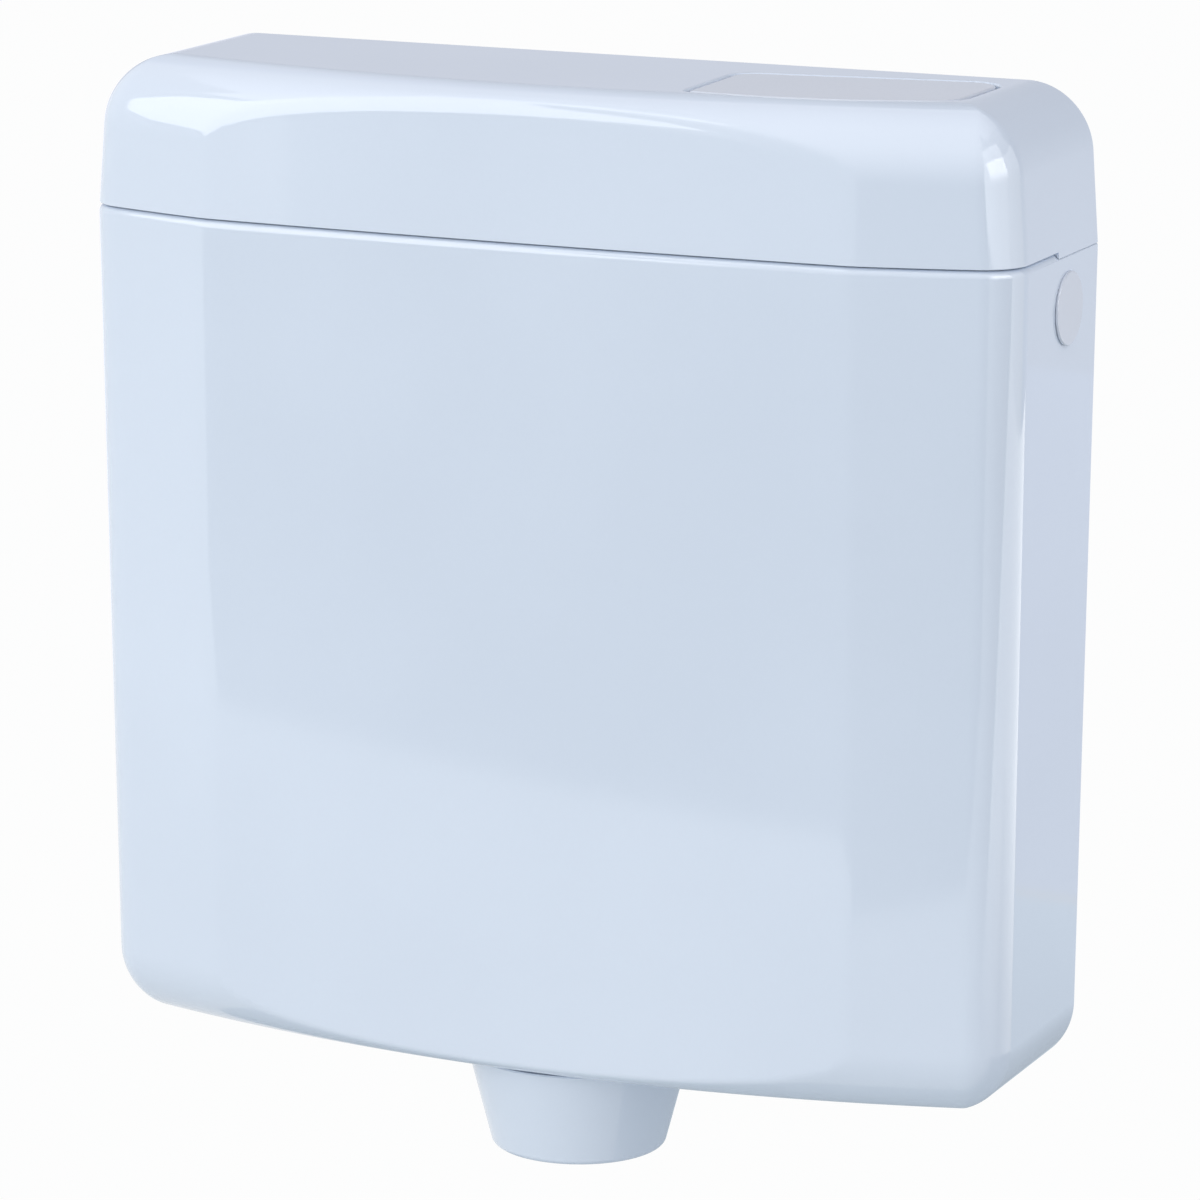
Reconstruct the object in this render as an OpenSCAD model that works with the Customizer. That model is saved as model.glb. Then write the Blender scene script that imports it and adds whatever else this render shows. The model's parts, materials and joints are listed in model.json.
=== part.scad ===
// Wall-hung toilet cistern with a lift-off lid, a hinged push plate and a lifting-tube flush valve.
// Millimetres. The wall is the plane y = 0, the front faces -Y and +Z is up.

/* [Tank] */
// Width across the seam between tank and lid
width = 400; // [370:1:440]
// Depth from the wall to the crown of the bowed front, at the seam
depth = 126.5; // [118:0.5:140]
// Height of the tank from its underside to the seam
tank_height = 339.5; // [320:0.5:380]
// Wall thickness of tank and lid
wall = 3; // [2.4:0.1:3.6]
// Radius of the bow of the front in plan
bow_radius = 640; // [560:5:760]
// How far the flat front panel is cut back from the crown of the bow
panel_cut = 12; // [8:0.5:15]
// Radius of the slight bow of the front panel
panel_radius = 3000; // [2000:50:6000]
// Radius of the vertical front corners
corner_radius = 20; // [12:0.5:30]
// Rounding of the lower edge
bottom_rounding = 28.5; // [20:0.5:34]
// Inward draft of each side between the seam and the underside
side_draft = 3.1; // [0:0.1:6]
// Inward draft of the front between the seam and the underside
front_draft = 7.2; // [3:0.1:10]
// Height of the bevel that shows under the lid
seam_gap = 3.5; // [2.5:0.1:5]
// Height of the rim that locates the lid, above the seam
rim_height = 10.5; // [9:0.1:14]
// Thickness of that rim
rim_wall = 3; // [2:0.1:4]

/* [Lid] */
// Height of the lid above the seam
lid_height = 63.3; // [58:0.1:75]
// Rounding of the upper edge
top_rounding = 26; // [20:0.5:30]
// Inward draft of each side of the lid
lid_side_draft = 4.6; // [0:0.1:6]
// Inward draft of the front of the lid
lid_front_draft = 1.7; // [0:0.1:4]
// Clearance between the lid and the tank
lid_clearance = 0.3; // [0.2:0.05:0.6]
// Distance from the wall over which the lid reaches down to close the bevel
lid_step = 46; // [30:1:60]
// Depth of the stiffening ribs under the lid
lid_rib = 5; // [3:0.5:8]

/* [Push plate] */
// Left end of the plate from the middle of the lid
plate_left = 59; // [55:0.5:62]
// Length of the plate
plate_length = 106; // [100:0.5:110]
// Distance from the wall to the back edge at the left end
plate_back_left = 30; // [26:0.5:34]
// Distance from the wall to the back edge at the right end
plate_back_right = 13; // [12:0.5:16]
// Distance from the wall to the front edge at the left end
plate_front_left = 88; // [84:0.5:90]
// Distance from the wall to the front edge at the right end
plate_front_right = 70; // [66:0.5:74]
// Forward bulge of the front edge at mid length
plate_bulge = 12; // [6:0.5:14]
// Gap between the plate and its well
plate_gap = 1.2; // [1:0.1:1.8]
// How far the plate sits below the top of the lid
plate_recess = 1; // [0.6:0.1:2]
// Thickness of the plate
plate_thickness = 2.5; // [2:0.1:3.5]
// Depth of the skirt round the plate below its top
plate_skirt = 6; // [4:0.5:8]
// Depth of the well below the top of the lid
well_depth = 15; // [13:0.5:18]
// Hinge axis from the right end of the plate
hinge_inset = 13; // [10:0.5:16]
// Hinge axis below the top of the lid
hinge_depth = 10; // [9:0.5:11]
// Radius of the hinge pin
hinge_pin_r = 2; // [1.5:0.1:2.5]

/* [Flush lever] */
// Lift of the flush valve
flush_lift = 18; // [12:0.5:20]
// Length of the lever arm that lifts the valve
lever_long = 62; // [58:0.5:66]
// Length of the lever arm below the push plate
lever_short = 26; // [22:0.5:30]
// Width of the lever
lever_width = 12; // [9:0.5:16]
// Radius of the rounded lever ends
lever_nose_r = 4; // [3.5:0.1:4.5]
// Radius of the lever pin
lever_pin_r = 3; // [2.5:0.1:3.5]
// Width of the bridge across the tank
bridge_width = 22; // [18:0.5:26]
// Thickness of the bridge
bridge_thickness = 4; // [3:0.1:5]
// Gap between the parts of the lifting gear that press on each other
contact_gap = 0.4; // [0.3:0.05:0.6]

/* [Flush valve] */
// Distance from the wall to the outlet axis
outlet_y = 50; // [48:0.5:52]
// Bore that takes the flush pipe
pipe_bore_r = 25.3; // [20:0.1:25.5]
// Wall of the outlet tail
tail_wall = 4.5; // [3:0.1:5]
// Length of the outlet tail below the tank
tail_length = 36; // [32:0.5:44]
// Depth of the pipe socket in the tail
socket_depth = 28; // [20:0.5:30]
// Step of the stop at the end of the pipe socket
socket_stop = 1.8; // [1:0.1:3]
// Radius of the seat flange on the tank floor
flange_r = 38; // [36.5:0.1:39]
// Thickness of the seat flange
flange_thickness = 3.5; // [2.5:0.1:5]
// Thickness of the outlet gasket
gasket_thickness = 3; // [2:0.1:4]
// Height of the raised seat lip
seat_height = 6.5; // [5:0.1:9]
// Width of the seat lip
seat_width = 3.5; // [2.5:0.1:5]
// Thickness of the flush seal
seal_thickness = 2.8; // [2:0.1:4]
// Overlap of the flush seal outside the seat lip
seal_overlap = 4; // [2.5:0.1:4.5]
// Height of the seal retainer
retainer_height = 4.5; // [3:0.1:6]
// Height of the guide cage
cage_height = 106; // [90:1:130]
// Wall of the guide cage
cage_wall = 2.5; // [2:0.1:3]
// Width of the windows in the cage
window_width = 40; // [28:0.5:44]
// Outer radius of the overflow tube
tube_r = 13; // [11:0.1:14.5]
// Wall of the overflow tube
tube_wall = 2; // [1.5:0.1:2.5]
// Clearance between the tube and its guide
tube_clearance = 0.4; // [0.3:0.05:0.8]
// Top of the overflow tube below the seam
overflow_drop = 54.5; // [45:0.5:70]
// Outer radius of the float ring on the tube
ring_float_r = 34; // [28:0.5:38]
// Height of that float ring
ring_float_height = 42; // [30:1:60]
// Wall of the moulded floats
float_wall = 1.6; // [1.2:0.1:2.2]

/* [Outlet nut] */
// Radius of the nut at its upper rim
nut_top_r = 46.2; // [44:0.1:48]
// Radius of the nut at its lower rim
nut_bottom_r = 35; // [34.6:0.1:38]
// Skin thickness of the nut
nut_wall = 2.5; // [2:0.1:3]
// Thickness of the seal between tail and nut
pipe_seal_thickness = 2.4; // [1.5:0.1:4]
// Thickness of the lip at the foot of the nut
nut_lip = 3; // [2:0.1:4]

/* [Side holes] */
// Distance from the wall to the axis of the side holes
side_y = 34; // [32:0.5:38]
// Axis of the side holes below the seam
side_drop = 20.5; // [19.5:0.5:28]
// Radius of the threaded shank and of the plug stem
shank_r = 10.48; // [8:0.02:10.6]
// Clearance of the shank in the hole
shank_clearance = 0.5; // [0.3:0.05:1]
// Radius of the head of the blanking plug
plug_head_r = 14.75; // [13:0.05:16]
// Thickness of that head
plug_head = 1.3; // [0.8:0.1:3]
// Thickness of the rubber washers in the side holes
side_washer = 2.8; // [2:0.1:4]
// Thickness of the nuts on the side holes
side_nut = 5.5; // [4.5:0.1:10]

/* [Fill valve] */
// Length of the inlet shank outside the tank
inlet_length = 17.5; // [16:0.5:34]
// Bore of the inlet
inlet_bore_r = 5; // [3.5:0.1:6]
// Length of the valve barrel inside its flange
barrel_length = 41; // [38:0.5:46]
// Radius of the valve piston
piston_r = 5; // [4:0.1:5.5]
// Clearance of the piston in its bore
piston_clearance = 0.15; // [0.1:0.05:0.3]
// Swing of the float arm in degrees
arm_swing = 30; // [20:1:34]
// Height of the arm's cam nose above its pivot
arm_cam = 9; // [8:0.1:10]
// Radius of the arm pin
arm_pin_r = 2; // [1.5:0.1:2.4]
// Distance from the arm pivot to the middle of the float
arm_length = 66; // [60:0.5:70]
// Side of the float
float_size = 46; // [38:0.5:48]
// Height of the float
float_height = 44; // [36:0.5:50]
// Radius of the drop tube
drop_tube_r = 7; // [6.5:0.1:8]
// Height of the lower end of the drop tube above the tank's underside
drop_tube_end = 40; // [25:1:80]

/* [Wall fixing] */
// Distance between the two wall-fixing holes
fixing_spacing = 200; // [160:1:220]
// Fixing holes below the seam
fixing_drop = 25; // [22:0.5:34]
// Radius of the fixing holes
fixing_r = 4.5; // [3:0.1:5.5]

/* [Hidden] */
$fn = 64;

// Facets along a front corner, beside the panel, across the panel and round the edges
corner_steps = 8;
bow_steps = 6;
panel_steps = 18;
arc_steps = 9;
edge_steps = 4;

// Small clearances that are alike everywhere
seat_gap = 0.25;
pin_clearance = 0.06;
thread_clearance = 0.2;

half = width / 2;
seam = tank_height;
lid_top = seam + lid_height;
skirt_z = seam + seam_gap + lid_clearance;
rim_z = seam + rim_height;
fixing_z = seam - fixing_drop;
side_z = seam - side_drop;

// Half width and crown depth of the tank and of the lid at one height
function tank_w(z) = half - side_draft * (1 - min(z, seam) / seam);
function tank_d(z) = depth - front_draft * (1 - min(z, seam) / seam);
function lid_w(z) = half - lid_side_draft * (z - seam) / lid_height;
function lid_d(z) = depth - lid_front_draft * (z - seam) / lid_height;

// Inset of the rim, so that the drafted skirt of the lid passes it
bevel_in = wall + lid_clearance + half - lid_w(skirt_z);
rim_in = wall + lid_clearance + half - lid_w(rim_z);

// Half width of the panel where it meets the bow, and the least width kept while it fades out
panel_half = sqrt(2 * panel_cut / (1 / bow_radius - 1 / panel_radius));
panel_min = panel_half / arc_steps;

// Places of the ribs under the left half of the lid
rib_at = [for (k = [0.65, 0.375, 0.1]) -k * half];

// The lower rounding leaves the outlet flange a flat floor
floor_rounding = min(bottom_rounding - wall, tank_d(0) - wall - outlet_y - flange_r - 1);

// Plan outline at one level, clockwise from the right rear corner
function plan(w, d, rb, rc, pd, pr, back) =
    let (
        cb = rb - d,
        cp = pr - pd,
        xc = w - rc,
        yc = cb - sqrt((rb - rc) ^ 2 - xc ^ 2),
        tangent = atan2(yc - cb, xc),
        meet = (pr ^ 2 - cp ^ 2 - rb ^ 2 + cb ^ 2) / (2 * (cb - cp)),
        crease = d > pd ? sqrt(max(0, rb ^ 2 - (meet - cb) ^ 2)) : 0,
        xp = max(panel_min, crease),
        end = asin(xp / rb) - 90,
        side = concat(
            [[w, -back]],
            [for (i = [0:corner_steps]) let (a = tangent * i / corner_steps)
                [xc + rc * cos(a), yc + rc * sin(a)]],
            [for (i = [1:bow_steps]) let (a = tangent + (end - tangent) * i / bow_steps)
                [rb * cos(a), cb + rb * sin(a)]]),
        front = [for (i = [1:panel_steps - 1]) let (x = xp * (1 - 2 * i / panel_steps))
            [x, max(cb - sqrt(rb ^ 2 - x ^ 2), cp - sqrt(pr ^ 2 - x ^ 2))]])
    concat(side, front, [for (i = [len(side) - 1:-1:0]) [-side[i].x, side[i].y]]);

// One level of the tank or the lid: inset by a wall and by an edge rounding that leaves the panel plane
function level(z, w, d, inset, round, back) =
    [for (p = plan(w - inset - round, d - inset - round, bow_radius - inset - round,
        max(corner_radius - inset - round, 1.5), d - panel_cut - inset, panel_radius - inset, back))
        [p.x, p.y, z]];
function tank_level(z, inset, round, back) = level(z, tank_w(z), tank_d(z), inset, round, back);
function lid_level(z, inset, round, back) = level(z, lid_w(z), lid_d(z), inset, round, back);

// Inset and rise of the levels of an edge rounding, closer together where the panel fades into the bow
function edge(r, arcs, steps) =
    let (cut = min(panel_cut, 0.9 * r), from = asin(1 - cut / r))
    [for (a = concat(
        [for (i = [0:steps]) from * i / steps],
        [for (i = [1:arcs]) asin(1 - cut * (1 - (i / arcs) ^ 2) / r)]))
        [r * (1 - sin(a)), r * (1 - cos(a))]];

function reversed(list) = [for (i = [len(list) - 1:-1:0]) list[i]];

// Distance of the panel from the wall at one place across the seam
function panel_y(x, inset) =
    depth - panel_cut - inset - (panel_radius - sqrt(panel_radius ^ 2 - x ^ 2));

// Closed skin through a stack of levels
module loft(levels) {
    n = len(levels[0]);
    last = len(levels) - 1;
    polyhedron(
        points = [for (ring = levels) each ring],
        faces = concat(
            [[for (i = [n - 1:-1:0]) i]],
            [[for (i = [0:n - 1]) last * n + i]],
            [for (j = [0:last - 1], i = [0:n - 1]) let (k = (i + 1) % n)
                [j * n + i, j * n + k, (j + 1) * n + k]],
            [for (j = [0:last - 1], i = [0:n - 1]) let (k = (i + 1) % n)
                [j * n + i, (j + 1) * n + k, (j + 1) * n + i]]));
}

// Rounded corner of an outline: arc points at q between p and s
function corner(p, q, s, r, n) =
    let (
        u = (p - q) / norm(p - q),
        v = (s - q) / norm(s - q),
        angle = acos(u * v),
        c = q + (u + v) / norm(u + v) * r / sin(angle / 2),
        a = q + u * r / tan(angle / 2) - c,
        b = q + v * r / tan(angle / 2) - c,
        turn = 180 - angle)
    [for (i = [0:n]) c + a * sin(turn * (1 - i / n)) / sin(turn) + b * sin(turn * i / n) / sin(turn)];
function rounded(points, radii, n) =
    let (m = len(points))
    [for (i = [0:m - 1]) each corner(points[(i + m - 1) % m], points[i], points[(i + 1) % m], radii[i], n)];

// The tank stands on z = 0 while it is drawn, and the origin then moves to the wall fixing
module place() {
    translate([0, 0, -fixing_z]) children();
}

// Cylinder along X, along Y, and a flat profile in X and Z with a thickness along Y
module rod_x(r, x0, x1, fn = 64) {
    translate([x0, 0, 0]) rotate([0, 90, 0]) cylinder(r = r, h = x1 - x0, $fn = fn);
}
module rod_y(r, y0, y1) {
    translate([0, y1, 0]) rotate([90, 0, 0]) cylinder(r = r, h = y1 - y0);
}
module slab_y(t, points) {
    rotate([90, 0, 0]) linear_extrude(t, center = true) polygon(points);
}
module ring(r, hole, z0, z1) {
    translate([0, 0, z0]) difference() {
        cylinder(r = r, h = z1 - z0);
        translate([0, 0, -1]) cylinder(r = hole, h = z1 - z0 + 2);
    }
}
module at_outlet() {
    translate([0, -outlet_y, 0]) children();
}

// Stack of the flush valve, from the tank floor upward
flange_z = wall + gasket_thickness;
flange_top = flange_z + flange_thickness;
seat_z = flange_top + seat_height;
seat_bore_r = pipe_bore_r - socket_stop;
seat_r = seat_bore_r + seat_width;
seal_z = seat_z + seat_gap;
foot_z = seal_z + seal_thickness;
foot_thickness = 3;
seal_r = seat_r + seal_overlap;
tail_r = pipe_bore_r + tail_wall;
tail_hole_r = tail_r + thread_clearance;
cage_r = flange_r - 0.5;
cage_top = flange_top + cage_height;
window_low = 8;
window_high = 16;
overflow_z = seam - overflow_drop;
collar_z = cage_top + 14;
ring_float_z = collar_z + 3;
clamp_z = ring_float_z + ring_float_height;
clamp_height = 6;

// Levels of the conical outlet nut below the tank
nut_top = -1;
seal_top = -tail_length;
nut_seat = seal_top - pipe_seal_thickness;
nut_end = nut_seat - nut_lip;
collar_r = tail_r + thread_clearance;
pipe_way_r = pipe_bore_r + 0.5;
backnut_height = 8;

// Lever geometry: the arms swing the same angle above and below the pivot
lever_rest = asin(flush_lift / 2 / lever_long);
lever_hub_r = lever_pin_r + 3.5;
notch_z = seam + seam_gap + 1;
bridge_z = notch_z + seat_gap;
bridge_top = bridge_z + bridge_thickness;
bridge_rib = 3;
bridge_rib_drop = 6;
pivot_x = lever_long;
pivot_z = bridge_top + lever_hub_r + 1.5;
stirrup_bar_r = 3;
stirrup_bar_z = pivot_z - flush_lift / 2 + lever_nose_r + stirrup_bar_r + contact_gap;
cheek_y = lever_width / 2 + 0.6;
cheek = 4;

// Push plate and its hinge
plate_right = plate_left + plate_length;
plate_mid = plate_left + plate_length / 2;
plate_radii = [9, 12, 15, 150, 2];
plate_outline = rounded(
    [[plate_left, -plate_back_left], [plate_right, -plate_back_right], [plate_right, -plate_front_right],
        [plate_mid, -(plate_front_left + plate_front_right) / 2 - plate_bulge],
        [plate_left + 2, -plate_front_left]],
    plate_radii, 8);
plate_top = lid_top - plate_recess;
plate_under = plate_top - plate_thickness;
hinge_x = plate_right - hinge_inset;
hinge_z = lid_top - hinge_depth;
hinge_y = outlet_y;
hinge_lug = 8;
hinge_span = 16;
lug_r = hinge_pin_r + 2.6;
pin_front = plate_front_right + plate_gap + 9;
plate_slant = (plate_back_left - plate_back_right) / plate_length;
pin_back = plate_back_right + hinge_inset * plate_slant - plate_gap - 5;
push_x = pivot_x + lever_short;
push_z = pivot_z + lever_short * sin(lever_rest) + lever_nose_r + contact_gap;
push_rod_r = 3;

// Stem of the blanking plug, from the outer face of the right wall
plug_stem = wall + seat_gap + side_washer + side_nut + 3;

// Fill valve, measured from the inner face of the left wall
inlet_x = -(tank_w(side_z) - wall);
inlet_free = inlet_length - seat_gap - side_nut - 0.5;
valve_flange = seat_gap + side_washer;
valve_flange_t = 4;
side_washer_r = shank_r + 5.5;
barrel_r = max(shank_r, piston_r + piston_clearance + 4.5);
barrel_end = valve_flange + valve_flange_t + barrel_length;
nozzle_back = 21;
nozzle_end = barrel_end - nozzle_back;
chamber = nozzle_end - 4;
cam_r = 3;
piston_travel = 2 * arm_cam * sin(arm_swing / 2);
washer_face = nozzle_end + seat_gap + piston_travel;
piston_washer_t = 3;
piston_end = barrel_end + 5;
piston_tip_r = piston_r / 2;
arm_x = piston_end + seat_gap + cam_r - arm_cam * sin(arm_swing / 2);
arm_z = -arm_cam * cos(arm_swing / 4);
fork_y = 5.2;
fork = 3.5;
fork_root = barrel_end - 14;
fork_drop = 16;
spout_s = chamber + 2.5;
spout_end = -barrel_r - 9;
drop_wall = 1.4;
arm_rod_r = 3;
arm_stop_r = 2;
arm_stop_at = 14;
arm_stop_drop = 5.3;
arm_stop = [arm_stop_at * cos(arm_swing) - arm_stop_drop * sin(arm_swing),
    -arm_stop_at * sin(arm_swing) - arm_stop_drop * cos(arm_swing)];

module at_inlet() {
    translate([inlet_x, -side_y, side_z]) children();
}
module at_arm() {
    at_inlet() translate([arm_x, 0, arm_z]) rotate([0, arm_swing, 0]) children();
}
module at_plug() {
    translate([tank_w(side_z), -side_y, side_z]) children();
}
module at_pivot() {
    translate([pivot_x, -outlet_y, pivot_z]) children();
}

module tank() {
    color("whitesmoke") place() difference() {
        union() {
            loft(concat(
                [for (e = edge(floor_rounding + wall, arc_steps, edge_steps)) tank_level(e[1], 0, e[0], 0)],
                [tank_level(seam, 0, 0, 0),
                    tank_level(seam + seam_gap, bevel_in, 0, bevel_in),
                    tank_level(rim_z, rim_in, 0, rim_in),
                    tank_level(rim_z, rim_in + rim_wall, 0, rim_in + rim_wall),
                    tank_level(seam + seam_gap, rim_in + rim_wall, 0, rim_in + rim_wall),
                    tank_level(seam - 1.5, wall, 0, wall)],
                [for (e = reversed(edge(floor_rounding, 5, 3))) tank_level(wall + e[1], wall, e[0], wall)]));
            for (side = [-1, 1])
                translate([side * fixing_spacing / 2, 0, fixing_z])
                    rod_y(fixing_r + 4.5, -wall - 2.5, -wall / 2);
        }
        for (side = [-1, 1])
            translate([side * fixing_spacing / 2, 0, fixing_z]) rod_y(fixing_r, -wall - 5, 2);
        at_outlet() translate([0, 0, -1]) cylinder(r = tail_hole_r, h = wall + 2);
        translate([0, -side_y, side_z]) {
            rod_x(shank_r + shank_clearance, -half - 5, -half + 20);
            rod_x(shank_r + shank_clearance, half - 20, half + 5);
        }
        bridge_slot(-1, rim_in + rim_wall + 2);
        bridge_slot(panel_y(pivot_x, rim_in + rim_wall + 2), panel_y(pivot_x, 0));
    }
}

// Notch in the rim that seats one end of the lever bridge
module bridge_slot(from, to) {
    translate([pivot_x - bridge_width / 2 - seat_gap, -to, notch_z])
        cube([bridge_width + 2 * seat_gap, to - from, rim_height]);
}

module lid() {
    inner = edge(top_rounding - wall, 5, 3);
    color("whitesmoke") place() difference() {
        union() {
            loft(concat(
                [for (e = inner) lid_level(lid_top - wall - e[1], wall, e[0], wall)],
                [lid_level(skirt_z, wall, 0, wall), lid_level(skirt_z, 0, 0, 0)],
                [for (e = reversed(edge(top_rounding, arc_steps, edge_steps)))
                    lid_level(lid_top - e[1], 0, e[0], 0)]));
            for (side = [0, 1]) mirror([side, 0, 0]) translate([0, -lid_step / 2, 0])
                slab_y(lid_step, lid_foot(lid_w(skirt_z), lid_w(seam)));
            rotate([90, 0, 90]) linear_extrude(2 * lid_w(skirt_z) - 2, center = true) polygon(lid_foot(0, 0));
            translate([0, 0, lid_top - well_depth]) linear_extrude(well_depth - wall / 2) difference() {
                offset(r = plate_gap + 2) polygon(plate_outline);
                offset(r = plate_gap) polygon(plate_outline);
            }
            for (y = [-pin_front, -pin_back - 6.5])
                translate([hinge_x - lug_r, y, hinge_z - lug_r + 0.6])
                    cube([2 * lug_r, 6.5, lid_top - wall / 2 - hinge_z + lug_r - 0.6]);
            for (x = rib_at)
                translate([x, -lid_d(lid_top) + top_rounding + 6, lid_top - wall - lid_rib])
                    cube([2, lid_d(lid_top) - top_rounding - wall - 3, lid_rib + 1]);
        }
        translate([0, 0, lid_top - well_depth - 1]) linear_extrude(well_depth + 2)
            offset(r = plate_gap) polygon(plate_outline);
        translate([hinge_x, 0, hinge_z]) rod_y(hinge_pin_r + pin_clearance, -pin_front - 1, -pin_back + 1);
    }
}

// Section of the strip that closes the bevel along the wall end of the lid
function lid_foot(at, low) = [[low, seam + lid_clearance], [at, skirt_z], [at - 0.6, skirt_z + 1.5],
    [at - wall + 0.6, skirt_z + 1.5], [at - wall, skirt_z]];

module flush_plate() {
    color("gainsboro") place() difference() {
        union() {
            translate([0, 0, plate_under]) linear_extrude(plate_thickness) polygon(plate_outline);
            translate([0, 0, plate_top - plate_skirt])
                linear_extrude(plate_skirt - plate_thickness / 2) difference() {
                    polygon(plate_outline);
                    offset(delta = -1.8) polygon(plate_outline);
                }
            for (side = [-1, 1]) {
                translate([hinge_x, -hinge_y + side * hinge_span, hinge_z])
                    rod_y(lug_r, -hinge_lug / 2, hinge_lug / 2);
                translate([hinge_x - lug_r, -hinge_y + side * hinge_span - hinge_lug / 2, hinge_z])
                    cube([2 * lug_r, hinge_lug, plate_under - hinge_z + 1]);
            }
            translate([push_x, -outlet_y, plate_under - 9]) cylinder(r = push_rod_r + 3, h = 10);
            translate([push_x, -outlet_y - 1, plate_under - 4]) cube([hinge_x - push_x, 2, 5]);
        }
        translate([push_x, -outlet_y, plate_under - 10]) cylinder(r = push_rod_r + pin_clearance, h = 10);
        translate([hinge_x, 0, hinge_z])
            rod_y(hinge_pin_r + pin_clearance, -hinge_y - hinge_span - hinge_lug,
                -hinge_y + hinge_span + hinge_lug);
    }
}

module plate_pin() {
    color("silver") place() translate([hinge_x, 0, hinge_z]) rod_y(hinge_pin_r, -pin_front, -pin_back);
}

module plate_pusher() {
    color("lightsteelblue") place() translate([push_x, -outlet_y, push_z]) {
        cylinder(r = push_rod_r, h = plate_under - push_z);
        cylinder(r = push_rod_r + 4, h = 3);
        translate([0, 0, plate_under - 9 - push_z - 4.2]) cylinder(r = push_rod_r + 2.6, h = 4, $fn = 6);
    }
}

module side_plug() {
    color("gainsboro") place() at_plug() rotate([0, 90, 0]) rotate_extrude() polygon([
        [0, seat_gap + plug_head], [plug_head_r - 1, seat_gap + plug_head - 0.1],
        [plug_head_r, seat_gap + plug_head - 0.6], [plug_head_r, seat_gap], [shank_r, seat_gap],
        [shank_r, -plug_stem + 1], [shank_r - 1, -plug_stem],
        [shank_r - 3, -plug_stem], [shank_r - 3, -1], [0, -1]]);
}

module plug_washer() {
    color("dimgray") place() at_plug() rotate([0, -90, 0])
        ring(side_washer_r, shank_r + thread_clearance, wall + seat_gap, wall + seat_gap + side_washer);
}

// Hexagon nut with a round bore and a collar, seated on z = 0
module hex_nut(bore, height) {
    difference() {
        union() {
            cylinder(r = bore + 5, h = height, $fn = 6);
            cylinder(r = bore + 4.8, h = 2);
        }
        translate([0, 0, -1]) cylinder(r = bore, h = height + 2);
    }
}

module plug_nut() {
    color("white") place() at_plug() rotate([0, -90, 0])
        translate([0, 0, wall + seat_gap + side_washer]) hex_nut(shank_r + thread_clearance, side_nut);
}

module pipe_nut() {
    slope = (nut_top_r - nut_bottom_r) / (nut_top - nut_end);
    color("gainsboro") place() at_outlet() rotate_extrude($fn = 96) polygon([
        [pipe_way_r, nut_end], [nut_bottom_r - 1.5, nut_end], [nut_bottom_r + 0.2, nut_end + 1.4],
        [nut_top_r, nut_top], [nut_top_r - nut_wall, nut_top],
        [nut_bottom_r - nut_wall + slope * (seal_top - nut_end), seal_top],
        [collar_r + nut_wall, seal_top], [collar_r + nut_wall, seal_top + 20],
        [collar_r, seal_top + 20], [collar_r, nut_seat], [pipe_way_r, nut_seat]]);
}

module pipe_seal() {
    color("dimgray") place() at_outlet() ring(tail_r, pipe_way_r, nut_seat, seal_top);
}

module outlet_seat() {
    color("white") place() at_outlet() rotate_extrude($fn = 96) polygon([
        [pipe_bore_r, -tail_length], [tail_r - 1, -tail_length], [tail_r, -tail_length + 1],
        [tail_r, flange_z], [flange_r, flange_z], [flange_r, flange_top], [seat_r + 1, flange_top],
        [seat_r, flange_top + 1], [seat_r, seat_z - 1], [seat_r - 1, seat_z],
        [seat_bore_r + 0.6, seat_z], [seat_bore_r, seat_z - 0.6],
        [seat_bore_r, socket_depth - tail_length + 2], [pipe_bore_r, socket_depth - tail_length]]);
}

module outlet_gasket() {
    color("dimgray") place() at_outlet() ring(flange_r - 0.5, tail_r + thread_clearance, wall, flange_z);
}

module outlet_backnut() {
    color("white") place() at_outlet() difference() {
        union() {
            translate([0, 0, -backnut_height]) cylinder(r = tail_r + 4.5, h = backnut_height);
            for (a = [0:45:315]) rotate(a)
                translate([tail_r + 2, -3, -backnut_height]) cube([5.5, 6, backnut_height - 1.5]);
        }
        translate([0, 0, -backnut_height - 1]) cylinder(r = collar_r, h = backnut_height + 2);
    }
}

module valve_cage() {
    guide = tube_r + tube_clearance;
    color("deepskyblue") place() at_outlet() difference() {
        union() {
            ring(cage_r, cage_r - cage_wall, flange_top, cage_top);
            ring(guide + 2.5, guide, cage_top - 14, cage_top + 2);
            for (a = [0:90:270]) rotate(a)
                translate([guide + 1, -2, cage_top - 9]) cube([cage_r - guide - 2, 4, 9]);
            for (a = [0:90:270]) rotate(a + 45) translate([cage_r - cage_wall, 0, flange_top]) {
                translate([0.5, -2, 0]) cube([cage_wall + 1, 4, cage_height - 6]);
            }
        }
        for (a = [0:90:270]) rotate(a)
            translate([guide + 4, -window_width / 2, flange_top + window_low])
                cube([cage_r, window_width, cage_height - window_low - window_high]);
    }
}

module overflow_tube() {
    low = seal_z - retainer_height - 1.5;
    color("white") place() at_outlet() rotate_extrude() polygon([
        [tube_r - tube_wall, low], [tube_r, low], [tube_r, foot_z], [seal_r - 1, foot_z],
        [seal_r - 1, foot_z + foot_thickness - 1], [tube_r + 5, foot_z + foot_thickness + 1],
        [tube_r, foot_z + foot_thickness + 8], [tube_r, collar_z - 2], [tube_r + 4, collar_z],
        [tube_r + 4, ring_float_z], [tube_r, ring_float_z], [tube_r, overflow_z],
        [tube_r - tube_wall + 0.8, overflow_z], [tube_r - tube_wall, overflow_z - 1]]);
}

module flush_seal() {
    color("black") place() at_outlet() ring(seal_r, tube_r + 0.1, seal_z, foot_z);
}

module seal_retainer() {
    color("white") place() at_outlet() rotate_extrude() polygon([
        [tube_r + 0.1, seal_z - retainer_height], [seat_bore_r - 4, seal_z - retainer_height],
        [seat_bore_r - 2, seal_z - retainer_height + 2], [seat_bore_r - 2, seal_z], [tube_r + 0.1, seal_z]]);
}

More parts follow.
